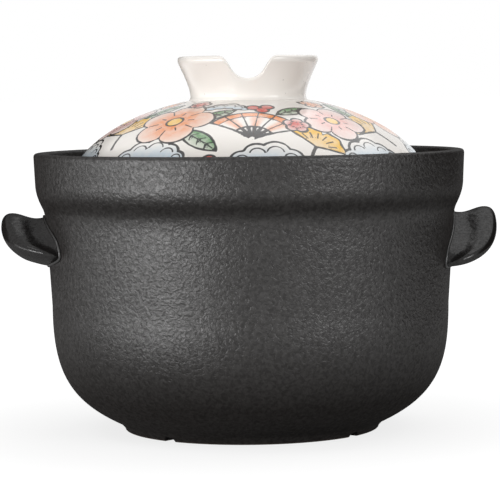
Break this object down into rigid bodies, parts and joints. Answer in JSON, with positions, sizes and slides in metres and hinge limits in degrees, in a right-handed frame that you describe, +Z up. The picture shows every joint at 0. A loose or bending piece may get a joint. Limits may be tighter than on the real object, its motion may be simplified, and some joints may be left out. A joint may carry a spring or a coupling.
{
  "type": "donabe clay pot",
  "caption": "Deep lidded clay cooking pot with a flared collar, ear handles, a notched foot ring and a domed glazed lid that lifts off by its flared ring knob.",
  "frame": {"origin": "middle of the plane that the foot ring stands on", "axes": "+Z up along the pot's axis, +X through the middles of the two ear handles, -Y towards the front"},
  "size_m": [0.2596, 0.225, 0.195],
  "materials": {
    "black_stoneware": "matte rippled",
    "black_handle_glaze": "satin gloss",
    "white_lid_glaze": "gloss"
  },
  "bodies": {
    "pot": {"pot_body": "black_stoneware", "left_handle": "black_handle_glaze", "right_handle": "black_handle_glaze"},
    "lifting_lid": {"lid": "white_lid_glaze", "lid_knob": "white_lid_glaze"}
  },
  "joints": [
    {"name": "lid_lift", "type": "slide", "parent": "pot", "child": "lifting_lid", "axis": [0, 0, 1], "range_m": [0, 0.15]}
  ]
}
